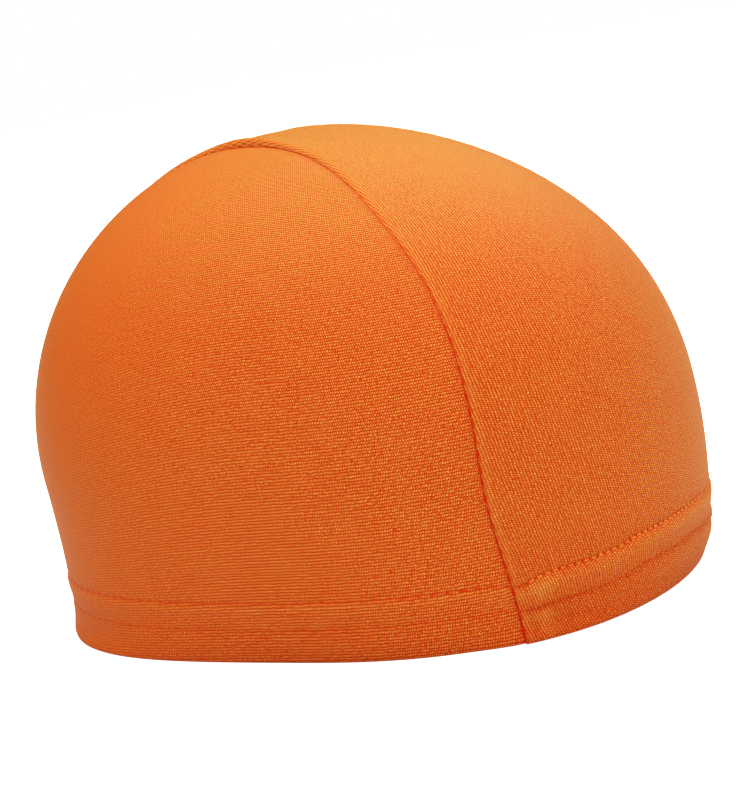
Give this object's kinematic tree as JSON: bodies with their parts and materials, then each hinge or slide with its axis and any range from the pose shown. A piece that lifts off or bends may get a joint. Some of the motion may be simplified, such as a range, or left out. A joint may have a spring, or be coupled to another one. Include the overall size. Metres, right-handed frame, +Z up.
{
  "type": "cycling skull cap",
  "caption": "Thin stretch-knit skull cap of a centre strip between two side panels, with a turned-up stitched hem, in the shape it has on a head.",
  "frame": {"origin": "on the floor under the hem, at the middle of the cap's width and length", "axes": "+Z up towards the crown, -Y towards the forehead, +Y towards the nape, -X towards the wearer's right"},
  "size_m": [0.1616, 0.187, 0.1254],
  "materials": {
    "knit_cloth": "fine-ribbed orange polyester and elastane knit with a soft sheen"
  },
  "bodies": {
    "root": {"side_panel_right": "knit_cloth", "side_panel_left": "knit_cloth", "centre_panel": "knit_cloth"}
  },
  "joints": []
}
